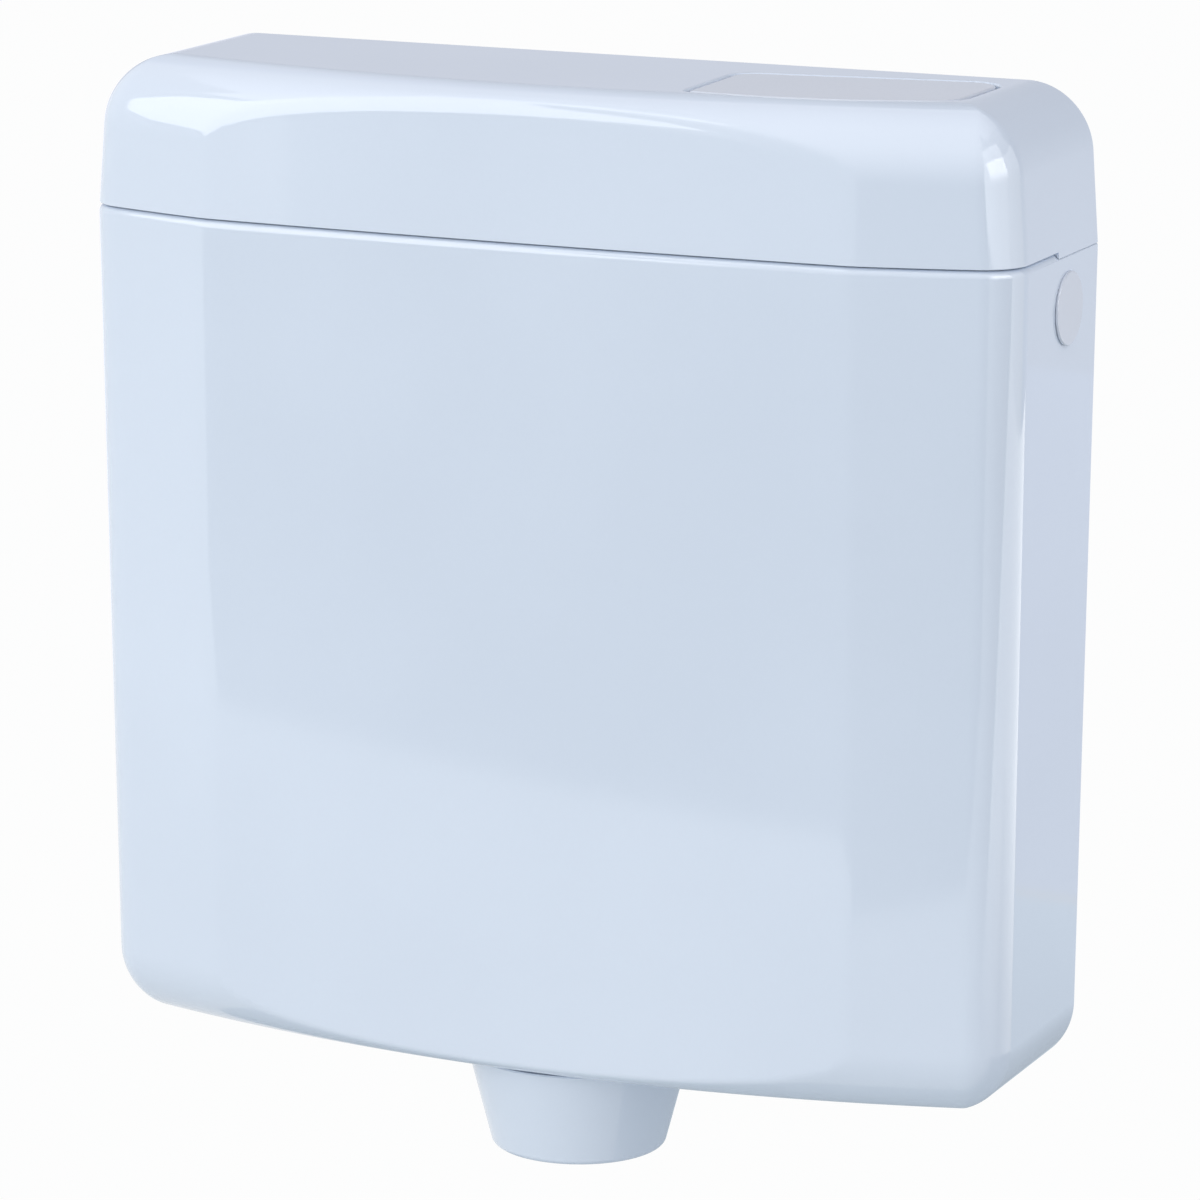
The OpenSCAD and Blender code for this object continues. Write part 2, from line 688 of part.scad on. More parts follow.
module flush_float() {
    bore = tube_r + 0.15;
    color("orangered") place() at_outlet() rotate_extrude() polygon([
        [bore, ring_float_z], [bore + float_wall, ring_float_z], [bore + float_wall, clamp_z - float_wall],
        [ring_float_r - float_wall - 1, clamp_z - float_wall],
        [ring_float_r - float_wall, clamp_z - float_wall - 2],
        [ring_float_r - float_wall, ring_float_z + 1], [ring_float_r, ring_float_z + 1],
        [ring_float_r, clamp_z - 3], [ring_float_r - 3, clamp_z], [bore, clamp_z]]);
}

module float_clamp() {
    color("white") place() at_outlet() difference() {
        union() {
            cylinder_at(tube_r + 3.2, clamp_z, clamp_z + clamp_height);
            for (y = [1.5, -4.5]) translate([tube_r + 1, y, clamp_z]) cube([9, 3, clamp_height]);
        }
        cylinder_at(tube_r + 0.15, clamp_z - 1, clamp_z + clamp_height + 1);
        translate([tube_r - 2, -1.5, clamp_z - 1]) cube([8, 3, clamp_height + 2]);
    }
}

module cylinder_at(r, z0, z1) {
    translate([0, 0, z0]) cylinder(r = r, h = z1 - z0);
}

module lift_stirrup() {
    sleeve = tube_r + 0.15;
    sleeve_z = overflow_z - 18;
    post_z = overflow_z - 12;
    post_y = max(sleeve + 2.6, lever_width / 2 + 5);
    color("deepskyblue") place() at_outlet() difference() {
        union() {
            cylinder_at(sleeve + 2.8, sleeve_z, overflow_z + 2);
            for (side = [-1, 1]) translate([-3, side * post_y - 2, post_z])
                cube([6, 4, stirrup_bar_z - post_z]);
            translate([0, 0, stirrup_bar_z]) rod_y(stirrup_bar_r, -post_y - 2, post_y + 2);
        }
        cylinder_at(sleeve, sleeve_z - 1, overflow_z + 3);
    }
}

module lever_bridge() {
    front = panel_y(pivot_x, rim_in + rim_wall / 2) - 0.5;
    back = rim_in + rim_wall / 2;
    inside = rim_in + rim_wall + 1.5;
    color("white") place() difference() {
        union() {
            translate([pivot_x - bridge_width / 2, -front, bridge_z])
                cube([bridge_width, front - back, bridge_thickness]);
            for (side = [-1, 1])
                translate([pivot_x + side * (bridge_width - bridge_rib) / 2 - bridge_rib / 2,
                    -panel_y(pivot_x, inside + 1), bridge_z - bridge_rib_drop])
                    cube([bridge_rib, panel_y(pivot_x, inside + 1) - inside, bridge_rib_drop + 0.5]);
            for (side = [-1, 1]) translate([0, side * (cheek_y + cheek / 2), 0]) {
                at_pivot() rod_y(lever_hub_r + 1, -cheek / 2, cheek / 2);
                translate([pivot_x, -outlet_y, 0]) slab_y(cheek, [
                    [-lever_hub_r - 1, pivot_z], [-lever_hub_r - 3, bridge_top - 1],
                    [lever_hub_r + 3, bridge_top - 1], [lever_hub_r + 1, pivot_z]]);
            }
        }
        at_pivot() rod_y(lever_pin_r + pin_clearance, -cheek_y - cheek - 1, cheek_y + cheek + 1);
    }
}

module flush_lever() {
    color("deepskyblue") place() at_pivot() rotate([0, -lever_rest, 0]) difference() {
        union() {
            rod_y(lever_hub_r, -lever_width / 2, lever_width / 2);
            slab_y(lever_width, [[-lever_long, -2.6], [-lever_long, 2.6], [0, 4.5], [lever_short, 2.6],
                [lever_short, -2.6], [0, -4.5]]);
            for (x = [-lever_long, lever_short]) translate([x, 0, 0])
                rod_y(lever_nose_r, -lever_width / 2, lever_width / 2);
        }
        rod_y(lever_pin_r + pin_clearance, -lever_width, lever_width);
        for (side = [-1, 1]) translate([0, side * lever_width / 2, 0])
            slab_y(lever_width / 2, [
                [-lever_long + lever_nose_r + 2, -1.2], [-lever_long + lever_nose_r + 2, 1.2],
                [-lever_hub_r - 2, 2.4], [-lever_hub_r - 2, -2.4]]);
    }
}

module lever_pin() {
    end = cheek_y + cheek + 1.5;
    color("silver") place() at_pivot() {
        rod_y(lever_pin_r, -end, end);
        rod_y(lever_pin_r + 1.6, -end - 1.5, -end + 1.2);
    }
}

module fill_valve() {
    color("white") place() at_inlet() difference() {
        union() {
            rod_x(shank_r - 0.2, -wall - inlet_length + 1, valve_flange + 1);
            rod_x(shank_r, -wall - inlet_length, -wall - inlet_length + inlet_free);
            rod_x(side_washer_r, valve_flange, valve_flange + valve_flange_t);
            rod_x(barrel_r, valve_flange + 1, barrel_end);
            translate([spout_s, 0, spout_end])
                cylinder(r = drop_tube_r - drop_wall - 0.2, h = barrel_r - spout_end - 8);
            translate([spout_s, 0, -barrel_r - 2]) cylinder(r = drop_tube_r + 1, h = barrel_r - 4);
            for (side = [-1, 1]) translate([0, side * (fork_y + fork / 2), 0]) slab_y(fork, [
                [fork_root, barrel_r - 3], [arm_x - 2, barrel_r - 3], [arm_x + 6.5, arm_z + 4],
                [arm_x + 13, arm_z - 9], [arm_x + 12, arm_z - fork_drop], [arm_x + 5, arm_z - fork_drop],
                [fork_root, -barrel_r + 2]]);
            translate([arm_x + arm_stop.x, 0, arm_z + arm_stop.y]) rod_y(arm_stop_r, -fork_y - 1, fork_y + 1);
        }
        rod_x(inlet_bore_r, -wall - inlet_length - 1, chamber - 6);
        rod_x(2.4, chamber - 7, nozzle_end + 1);
        difference() {
            rod_x(piston_r + piston_clearance, chamber, barrel_end + 20);
            rod_x(3.8, chamber - 1, nozzle_end);
        }
        translate([spout_s, 0, spout_end - 1])
            cylinder(r = drop_tube_r - drop_wall - 2, h = -spout_end - 2.8);
        translate([arm_x, 0, arm_z]) rod_y(arm_pin_r + pin_clearance, -fork_y - fork - 1, fork_y + fork + 1);
    }
}

module inlet_washer() {
    color("dimgray") place() at_inlet() rotate([0, 90, 0])
        ring(side_washer_r, shank_r + thread_clearance, seat_gap, valve_flange);
}

module inlet_backnut() {
    color("white") place() at_inlet() rotate([0, -90, 0])
        translate([0, 0, wall + seat_gap]) hex_nut(shank_r + thread_clearance, side_nut);
}

module fill_piston() {
    color("gold") place() at_inlet() difference() {
        union() {
            rod_x(piston_r, washer_face + 0.8, barrel_end - 1);
            rod_x(piston_tip_r, barrel_end - 2, piston_end);
        }
        rod_x(piston_r - 1, washer_face - 1, washer_face + piston_washer_t);
    }
}

module piston_washer() {
    color("black") place() at_inlet() rod_x(piston_r - 1.1, washer_face, washer_face + piston_washer_t);
}

module float_arm() {
    reach = arm_length - float_size / 2 - 8;
    cam = [-arm_cam * sin(arm_swing / 2), arm_cam * cos(arm_swing / 2)];
    color("white") place() at_arm() difference() {
        union() {
            rod_y(5, -fork_y + 0.5, fork_y - 0.5);
            slab_y(2 * fork_y - 3, [[0, -3], [0, 4], [reach, 3.4], [reach, -3.4]]);
            slab_y(2 * fork_y - 3, [[-3, 3], [cam[0] - 1.2, cam[1]], [cam[0] + 1.6, cam[1]], [4, 3]]);
            translate([cam[0], 0, cam[1]]) rod_y(cam_r, -fork_y + 1.5, fork_y - 1.5);
            rod_x(arm_rod_r, reach - 4, arm_length + float_size / 2 + 8);
        }
        rod_y(arm_pin_r + pin_clearance, -fork_y - 1, fork_y + 1);
    }
}

module arm_pin() {
    color("silver") place() at_inlet() translate([arm_x, 0, arm_z])
        rod_y(arm_pin_r, -fork_y - fork - 1, fork_y + fork + 1);
}

// Rounded block on z = 0
module block(size, height, r) {
    hull() for (x = [-1, 1], y = [-1, 1]) translate([x * (size / 2 - r), y * (size / 2 - r), 0])
        cylinder(r = r, h = height, $fn = 32);
}

module fill_float() {
    top = -arm_rod_r - 2;
    color("orangered") place() at_arm() translate([arm_length, 0, 0]) difference() {
        union() {
            translate([0, 0, top - float_height]) block(float_size, float_height, 8);
            rod_x(arm_rod_r + 2.2, -float_size / 2, float_size / 2);
            translate([-float_size / 2 + 4, -2, top - 1]) cube([float_size - 8, 4, 3]);
        }
        translate([0, 0, top - float_height - float_wall])
            block(float_size - 2 * float_wall, float_height, 8 - float_wall);
        rod_x(arm_rod_r + 0.15, -float_size, float_size);
    }
}

module float_nuts() {
    color("white") place() at_arm() for (side = [0, 1])
        translate([arm_length, 0, 0]) mirror([side, 0, 0]) difference() {
            rod_x(arm_rod_r + 3, float_size / 2 + seat_gap, float_size / 2 + 4, 6);
            rod_x(arm_rod_r + 0.15, float_size / 2 - 1, float_size / 2 + 6);
        }
}

module drop_tube() {
    color("lightsteelblue") place() at_inlet() translate([spout_s, 0, 0])
        ring(drop_tube_r, drop_tube_r - drop_wall, drop_tube_end - side_z, -barrel_r - 2.2);
}

tank();
lid();
flush_plate();
plate_pin();
plate_pusher();
side_plug();
plug_washer();
plug_nut();
pipe_nut();
pipe_seal();
outlet_seat();
outlet_gasket();
outlet_backnut();
valve_cage();
overflow_tube();
flush_seal();
seal_retainer();
flush_float();
float_clamp();
lift_stirrup();
lever_bridge();
flush_lever();
lever_pin();
fill_valve();
inlet_washer();
inlet_backnut();
fill_piston();
piston_washer();
float_arm();
arm_pin();
fill_float();
float_nuts();
drop_tube();
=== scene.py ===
import json
import bpy
import bmesh
from math import acos, atan2, cos, pi, radians, sin, sqrt, tan
from mathutils import Matrix, Vector


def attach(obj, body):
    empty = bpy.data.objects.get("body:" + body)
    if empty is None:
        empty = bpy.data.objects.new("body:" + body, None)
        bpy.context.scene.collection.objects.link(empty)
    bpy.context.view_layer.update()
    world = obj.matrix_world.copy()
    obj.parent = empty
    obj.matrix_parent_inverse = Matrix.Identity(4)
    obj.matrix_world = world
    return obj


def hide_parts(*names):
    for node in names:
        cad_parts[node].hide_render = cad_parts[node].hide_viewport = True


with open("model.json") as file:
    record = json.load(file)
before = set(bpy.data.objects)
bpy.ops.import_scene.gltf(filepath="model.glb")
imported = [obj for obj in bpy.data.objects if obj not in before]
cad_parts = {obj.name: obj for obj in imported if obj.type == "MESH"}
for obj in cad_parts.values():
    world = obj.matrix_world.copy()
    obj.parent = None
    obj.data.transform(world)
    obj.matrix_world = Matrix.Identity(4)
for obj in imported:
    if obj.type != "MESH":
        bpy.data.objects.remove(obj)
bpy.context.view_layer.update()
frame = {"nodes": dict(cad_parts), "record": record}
print("frame loaded with", len(frame["nodes"]), "nodes")

# Shapes are drawn in millimetres above the tank's underside, and go into the frame at the end
millimetre = 0.001
originHeight = 314.5


class Line:
    # one output socket that takes part in sums
    def __init__(self, owner, socket):
        self.owner = owner
        self.socket = socket

    def calc(self, operation, first, second):
        return self.owner.node("ShaderNodeMath", {"operation": operation}, {0: first, 1: second})

    def __add__(self, other):
        return self.calc("ADD", self, other)

    def __radd__(self, other):
        return self.calc("ADD", other, self)

    def __sub__(self, other):
        return self.calc("SUBTRACT", self, other)

    def __rsub__(self, other):
        return self.calc("SUBTRACT", other, self)

    def __mul__(self, other):
        return self.calc("MULTIPLY", self, other)

    def __rmul__(self, other):
        return self.calc("MULTIPLY", other, self)


class Nodes:
    # the nodes of a material or of the world
    def __init__(self, owner):
        owner.use_nodes = True
        self.tree = owner.node_tree

    def node(self, kind, settings, sockets, out=0):
        made = self.tree.nodes.new(kind)
        for key, value in settings.items():
            if key == "stops":
                self.setStops(made.color_ramp, value)
            else:
                setattr(made, key, value)
        for key, value in sockets.items():
            self.feed(made.inputs[key], value)
        return Line(self, made.outputs[out])

    def end(self, kind, shader):
        # the tree's own output takes the shader
        self.feed(self.tree.nodes[kind].inputs["Surface"], shader)

    def seen(self):
        # 1 where the eye meets a surface straight, in a reflection or through glass
        rays = ("Is Camera Ray", "Is Glossy Ray", "Is Transmission Ray")
        direct, mirrored, through = (self.node("ShaderNodeLightPath", {}, {}, ray) for ray in rays)
        return direct + mirrored + through

    def setStops(self, ramp, stops):
        while len(ramp.elements) < len(stops):
            ramp.elements.new(0.5)
        for element, (at, colour) in zip(ramp.elements, stops):
            element.position = at
            element.color = (*colour, 1)

    def feed(self, socket, value):
        if isinstance(value, Line):
            self.tree.links.new(value.socket, socket)
        else:
            socket.default_value = value


class Finish(Nodes):
    # one material
    def __init__(self, name):
        self.material = bpy.data.materials.new(name)
        super().__init__(self.material)
        self.shader = self.tree.nodes["Principled BSDF"]
        self.place = self.node("ShaderNodeTexCoord", {}, {}, "Object")

    def noise(self, size, detail=2.0, rough=0.5):
        # cloudy pattern whose lumps are about this many millimetres across
        return self.node("ShaderNodeTexNoise", {}, {
            "Vector": self.place, "Scale": 1 / (size * millimetre), "Detail": detail, "Roughness": rough})

    def blend(self, factor, first, second):
        return self.node("ShaderNodeMix", {"data_type": "RGBA"}, {
            0: factor, 6: (*first, 1), 7: (*second, 1)}, 2)

    def bump(self, height, depth, strength=1.0):
        return self.node("ShaderNodeBump", {}, {
            "Height": height, "Distance": depth * millimetre, "Strength": strength})

    def dress(self, **inputs):
        for key, value in inputs.items():
            self.feed(self.shader.inputs[key.replace("_", " ")], value)
        return self.material


def colour(red, green, blue):
    # screen values from 0 to 255 as the shader's own
    def one(level):
        level /= 255
        return level / 12.92 if level <= 0.04045 else ((level + 0.055) / 1.055) ** 2.4
    return (one(red), one(green), one(blue))


# a noise is given as size in millimetres, detail and roughness
plasticWork = {
    "drift": (140, 2), "specks": (1.6, 3), "ripple": (3.2, 1.5), "grain": (0.45, 2),
    "shares": (0.85, 0.15), "range": (0.3, 0.7), "spread": 0.3, "gloss": 0.5,
    "relief": (0.7, 0.3), "strength": 0.5,
}


def mouldedPlastic(name, pale, deep, rough, peel):
    # drifting shade, faint flow marks and the fine ripple of a polished mould
    t = plasticWork
    finish = Finish(name)
    drift, specks, ripple, grain = (finish.noise(*t[key]) for key in ("drift", "specks", "ripple", "grain"))
    shade = finish.node("ShaderNodeMapRange", {"interpolation_type": "SMOOTHSTEP"}, {
        "Value": drift * t["shares"][0] + specks * t["shares"][1],
        "From Min": t["range"][0], "From Max": t["range"][1]})
    spread = t["spread"] * rough
    return finish.dress(
        Base_Color=finish.blend(shade, deep, pale),
        Roughness=rough + (drift - 0.5) * spread + (specks - 0.5) * spread,
        Specular_IOR_Level=t["gloss"],
        Normal=finish.bump(ripple * t["relief"][0] + grain * t["relief"][1], peel, t["strength"]))


rubberWork = {
    "bloom": (9, 4, 0.6), "grain": (0.6, 3), "rough": 0.62, "spread": 0.25, "depth": 0.05, "strength": 0.6,
}


def rubber(name, pale, deep):
    # matt bloom over a dark moulded seal
    t = rubberWork
    finish = Finish(name)
    bloom, grain = (finish.noise(*t[key]) for key in ("bloom", "grain"))
    return finish.dress(
        Base_Color=finish.blend(bloom, deep, pale),
        Roughness=t["rough"] + (bloom - 0.5) * t["spread"],
        Normal=finish.bump(grain, t["depth"], t["strength"]))


metalWork = {
    "dull": (7, 4, 0.6), "dullSpread": 0.16, "stretch": (1, 0.04, 1), "marks": 2200, "marksDetail": 2,
    "marksSpread": 0.08, "depth": 0.01, "strength": 0.4,
}


def drawnMetal(name, pale, deep, rough):
    # drawing marks and dull patches on bar stock
    t = metalWork
    finish = Finish(name)
    dull = finish.noise(*t["dull"])
    drawn = finish.node("ShaderNodeMapping", {}, {"Vector": finish.place, "Scale": t["stretch"]})
    marks = finish.node("ShaderNodeTexNoise", {}, {
        "Vector": drawn, "Scale": t["marks"], "Detail": t["marksDetail"]})
    return finish.dress(
        Base_Color=finish.blend(dull, deep, pale),
        Metallic=1.0,
        Roughness=rough + (dull - 0.5) * t["dullSpread"] + (marks - 0.5) * t["marksSpread"],
        Normal=finish.bump(marks, t["depth"], t["strength"]))


# pale and deep colour, roughness and depth of the ripple where there is one
finishes = {
    "shell": mouldedPlastic("shell_white", colour(209, 219, 234), colour(206, 216, 231), 0.04, 0.005),
    "plate": mouldedPlastic("plate_white", colour(206, 212, 224), colour(202, 209, 221), 0.14, 0.012),
    "white_plastic": mouldedPlastic("fitting_white", colour(226, 227, 224), colour(217, 219, 217), 0.34, 0.03),
    "grey_plastic": mouldedPlastic("fitting_grey", colour(176, 184, 192), colour(163, 172, 181), 0.36, 0.03),
    "blue_plastic": mouldedPlastic("fitting_blue", colour(62, 128, 186), colour(48, 110, 170), 0.32, 0.03),
    "rubber": rubber("seal_rubber", colour(62, 62, 63), colour(44, 44, 46)),
    "brass": drawnMetal("turned_brass", colour(222, 190, 112), colour(196, 160, 84), 0.28),
    "steel": drawnMetal("pin_steel", colour(206, 208, 211), colour(178, 181, 186), 0.3),
}
print("finishes made:", len(finishes))


def pull(bm, vert, move):
    # draws a straight line from a vertex
    made = bmesh.ops.extrude_vert_indiv(bm, verts=[vert])["verts"]
    bmesh.ops.translate(bm, verts=made, vec=move)
    return made[0]


def swing(bm, vert, centre, angle, steps):
    # draws an arc from a vertex
    made = bmesh.ops.spin(bm, geom=[vert], cent=centre, axis=(0, 0, 1), angle=angle, steps=steps)
    return [v for v in made["geom_last"] if isinstance(v, bmesh.types.BMVert)][0]


def newest(bm, before):
    return [e for e in bm.edges if e not in before]


def bridge(bm, rings):
    for lower, upper in zip(rings, rings[1:]):
        bmesh.ops.bridge_loops(bm, edges=lower + upper)


def cover(bm, *rings):
    # flat face inside the first ring, with the other rings left open
    edges = [e for ring in rings for e in ring]
    if len(rings) == 1:
        bmesh.ops.contextual_create(bm, geom=edges)
    else:
        bmesh.ops.triangle_fill(bm, use_beauty=True, edges=edges, normal=(0, 0, 1))


def circle(bm, x, y, z, radius, steps=96):
    before = set(bm.edges)
    start = bm.verts.new((x + radius, y, z))
    bmesh.ops.spin(bm, geom=[start], cent=(x, y, z), axis=(0, 0, 1), angle=2 * pi, steps=steps, use_merge=True)
    return newest(bm, before)


def softEdges(bm, edges, width, segments=3):
    bmesh.ops.bevel(bm, geom=edges, offset=width, segments=segments, profile=0.5, affect="EDGES", material=-1)


def quarter(steps):
    # angles of a quarter turn
    return [pi / 2 * i / steps for i in range(steps + 1)]


def turned(bm, profile, axisPoint, axis, steps=96):
    # full turn of an outline given as points of the profile
    verts = [bm.verts.new(p) for p in profile]
    line = [bm.edges.new(pair) for pair in zip(verts, verts[1:] + verts[:1])]
    bmesh.ops.spin(bm, geom=verts + line, cent=axisPoint, axis=axis, angle=2 * pi, steps=steps, use_merge=True)
    bmesh.ops.remove_doubles(bm, verts=bm.verts, dist=1e-4)


def intoMesh(bm, name):
    bmesh.ops.recalc_face_normals(bm, faces=bm.faces)
    bmesh.ops.scale(bm, vec=(millimetre,) * 3, verts=bm.verts)
    bmesh.ops.translate(bm, vec=(0, 0, -originHeight * millimetre), verts=bm.verts)
    mesh = bpy.data.meshes.new(name)
    bm.to_mesh(mesh)
    bm.free()
    thing = bpy.data.objects.new(name, mesh)
    bpy.context.scene.collection.objects.link(thing)
    return thing


def prism(bm, corners, move):
    # flat face from a few corners, drawn out along one direction
    face = bmesh.ops.contextual_create(bm, geom=[bm.verts.new(p) for p in corners])["faces"][0]
    made = bmesh.ops.extrude_face_region(bm, geom=[face], use_keep_orig=True)["geom"]
    bmesh.ops.translate(bm, verts=[v for v in made if isinstance(v, bmesh.types.BMVert)], vec=move)


def drill(bm, radius, depth, place, axis, steps):
    # round cutter, laid over from upright about one axis
    bmesh.ops.create_cone(
        bm, cap_ends=True, segments=steps, radius1=radius, radius2=radius, depth=depth,
        matrix=Matrix.Translation(place) @ Matrix.Rotation(pi / 2, 4, axis))


def cutAway(thing, bm):
    # takes the cutters away and keeps the result as the piece's own mesh
    cutter = intoMesh(bm, "cutter")
    step = thing.modifiers.new("cut", "BOOLEAN")
    step.operation = "DIFFERENCE"
    step.solver = "EXACT"
    step.object = cutter
    graph = bpy.context.evaluated_depsgraph_get()
    result = bpy.data.meshes.new_from_object(thing.evaluated_get(graph))
    thing.modifiers.remove(step)
    old = thing.data
    thing.data = result
    bpy.data.meshes.remove(old)
    spare = cutter.data
    bpy.data.objects.remove(cutter)
    bpy.data.meshes.remove(spare)


def finishPiece(thing, body, nodes, slot, sharp=35):
    mesh = thing.data
    mesh.shade_smooth()
    mesh.set_sharp_from_angle(angle=radians(sharp))
    mesh.materials.clear()
    mesh.materials.append(finishes[slot])
    thing.modifiers.new("even shading", "WEIGHTED_NORMAL").keep_sharp = True
    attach(thing, body)
    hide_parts(*nodes)
    print("made", thing.name, "with", len(mesh.polygons), "faces")


shell = {
    "halfWidth": 200.0, "depth": 126.5, "seam": 339.5, "top": 402.8, "wall": 3.0,
    "bow": 640.0, "panelBow": 3000.0, "panelCut": 12.0, "panelReach": 160.0, "panelFront": -40.0,
    "corner": 20.0, "leastCorner": 1.5,
    "sideDraft": 3.1, "frontDraft": 7.2, "lidSideDraft": 4.6, "lidFrontDraft": 1.7,
    "cornerSteps": 14, "bowSteps": 8, "creaseSteps": 14, "panelSteps": 60,
    "creaseFrom": 147.0, "creaseTo": 131.0, "crease": (0.5, 0.5, 0.125),
}
lidHeight = shell["top"] - shell["seam"]


def tankSize(z):
    share = 1 - min(z, shell["seam"]) / shell["seam"]
    return shell["halfWidth"] - shell["sideDraft"] * share, shell["depth"] - shell["frontDraft"] * share


def lidSize(z):
    share = (z - shell["seam"]) / lidHeight
    return shell["halfWidth"] - shell["lidSideDraft"] * share, shell["depth"] - shell["lidFrontDraft"] * share


def softer(bow, panel, crease):
    # the deeper of bow and panel, with the crease rounded off over its own width on either side
    panelSide, bowSide, depth = crease
    gap = panel - bow
    near = max(1 - abs(gap) / (panelSide if gap > 0 else bowSide), 0)
    return max(bow, panel) + near * near * depth


def section(bm, z, size, inset=0.0, side=0.0, front=0.0, back=None, crease=shell["crease"]):
    # outline at one height: inset by a wall, and by an edge rounding that leaves the panel plane
    before = set(bm.edges)
    w, d = size
    back = inset if back is None else back
    panelRadius = shell["panelBow"] - inset
    panelCentre = panelRadius - (d - shell["panelCut"] - inset)
    w, d = w - inset - side, d - inset - front
    bow = shell["bow"] - inset - front
    corner = max(shell["corner"] - inset - (side + front) / 2, shell["leastCorner"])
    bowCentre = bow - d
    x = w - corner
    y = bowCentre - sqrt((bow - corner) ** 2 - x ** 2)
    turn = atan2(y - bowCentre, x)
    stops = [turn, -acos(shell["creaseFrom"] / bow), -acos(shell["creaseTo"] / bow)]
    stops += [-pi - a for a in reversed(stops)]
    steps = [shell[key] for key in ("bowSteps", "creaseSteps", "panelSteps", "creaseSteps", "bowSteps")]
    first = bm.verts.new((w, -back, z))
    pen = pull(bm, first, (0, y + back, 0))
    pen = swing(bm, pen, (x, y, z), turn, shell["cornerSteps"])
    for a, b, n in zip(stops, stops[1:], steps):
        pen = swing(bm, pen, (0, bowCentre, z), b - a, n)
    pen = swing(bm, pen, (-x, y, z), turn, shell["cornerSteps"])
    pen = pull(bm, pen, (0, -y - back, 0))
    bm.edges.new((pen, first))
    made = newest(bm, before)
    for v in {v for e in made for v in e.verts}:
        if abs(v.co.x) < shell["panelReach"] and v.co.y < shell["panelFront"]:
            v.co.y = softer(v.co.y, panelCentre - sqrt(panelRadius ** 2 - v.co.x ** 2), crease)
    return made


def roundingLevels(radius, steps):
    return [radius * (1 - cos(a)) for a in quarter(steps)]


def roundedIn(radius, rise):
    # how far an edge rounding lies inside the wall at a height above its end
    return radius - sqrt(max(radius ** 2 - (radius - min(rise, radius)) ** 2, 0))


tankWork = {
    "rounding": 28.5, "edgeSteps": 36, "innerSteps": 14, "creaseLow": 2.0, "bands": (110, 220),
    "lipLow": 338.7, "lipIn": 2.6, "lipHeight": 3.2, "lipSteps": 12,
    "footIn": 3.58, "footHeight": 3.5, "footReach": 48.2, "spare": 1.0,
    "rimIn": 4.06, "rimWall": 3.0, "rimTop": 350.0, "rimEdge": 0.5, "rimFoot": 1.5,
    "outletY": -50.0, "outletHole": 30.0,
    "holeY": -34.0, "holeZ": 319.0, "holeRadius": 10.98, "holeDepth": 30.0,
    "fixingX": 100.0, "fixingZ": 314.5, "fixingRadius": 4.5, "fixingDepth": 14.0,
    "bossRadius": 9.0, "bossEnd": -5.5, "bossEdge": 0.6,
    "notchX": 62.0, "notchYs": (-4.5, -112.0), "notchZ": 344.0, "notchSize": (22.5, 13.0, 20.0),
}


def makeTank(t):
    bm = bmesh.new()
    seam, wall = shell["seam"], shell["wall"]
    plain = shell["crease"][0]
    rings = []
    for z in roundingLevels(t["rounding"], t["edgeSteps"]):
        edge = roundedIn(t["rounding"], z)
        crease = plain + (t["creaseLow"] - plain) * min(edge / shell["panelCut"], 1)
        rings.append(section(bm, z, tankSize(z), 0, edge, edge, 0, (crease, crease, crease / 4)))
    for z in t["bands"]:
        rings.append(section(bm, z, tankSize(z), 0))
    ledge = t["lipLow"] + t["lipHeight"]
    for a in quarter(t["lipSteps"]):
        z = t["lipLow"] + t["lipHeight"] * sin(a)
        rings.append(section(bm, z, tankSize(min(z, seam)), t["lipIn"] * (1 - cos(a))))
    rings.append(section(bm, ledge, tankSize(seam), t["rimIn"]))
    rimOut = section(bm, t["rimTop"], tankSize(seam), t["rimIn"])
    rimIn = section(bm, t["rimTop"], tankSize(seam), t["rimIn"] + t["rimWall"])
    rings += [rimOut, rimIn]
    rings.append(section(bm, ledge, tankSize(seam), t["rimIn"] + t["rimWall"]))
    rimFoot = seam - t["rimFoot"]
    rings.append(section(bm, rimFoot, tankSize(rimFoot), wall))
    radius = t["rounding"] - wall
    for rise in reversed(roundingLevels(radius, t["innerSteps"])):
        edge = roundedIn(radius, rise)
        rings.append(section(bm, wall + rise, tankSize(wall + rise), wall, edge, edge))
    bridge(bm, rings)
    holes = [circle(bm, 0, t["outletY"], z, t["outletHole"]) for z in (0, wall)]
    bridge(bm, holes)
    cover(bm, rings[0], holes[0])
    cover(bm, rings[-1], holes[1])
    softEdges(bm, rimOut + rimIn, t["rimEdge"], 2)
    tank = intoMesh(bm, "tank_shell")
    cutTank(tank, t)
    addBosses(tank, t)
    return tank


def cutTank(tank, t):
    # inlet holes, wall fixings, notches for the bridge, and the bevel that takes the lid's foot
    cut = bmesh.new()
    for side in (-1, 1):
        inlet = (side * shell["halfWidth"], t["holeY"], t["holeZ"])
        drill(cut, t["holeRadius"], t["holeDepth"], inlet, "Y", 64)
        drill(cut, t["fixingRadius"], t["fixingDepth"], (side * t["fixingX"], 0, t["fixingZ"]), "X", 48)
    for y in t["notchYs"]:
        middle = (t["notchX"], y, t["notchZ"] + t["notchSize"][2] / 2)
        bmesh.ops.create_cube(
            cut, size=1, matrix=Matrix.Translation(middle) @ Matrix.Diagonal((*t["notchSize"], 1)))
    low, high, into, spare = shell["seam"], shell["seam"] + t["footHeight"], t["footIn"], t["spare"]
    for side in (-1, 1):
        w = side * shell["halfWidth"]
        prism(cut, [(w, spare, low), (w + side * spare, spare, high), (w - side * into, spare, high)],
              (0, -t["footReach"] - spare, 0))
    cutAway(tank, cut)
    cut = bmesh.new()
    end = shell["halfWidth"] + spare
    prism(cut, [(-end, 0, low), (-end, spare, high), (-end, -into, high)], (2 * end, 0, 0))
    cutAway(tank, cut)


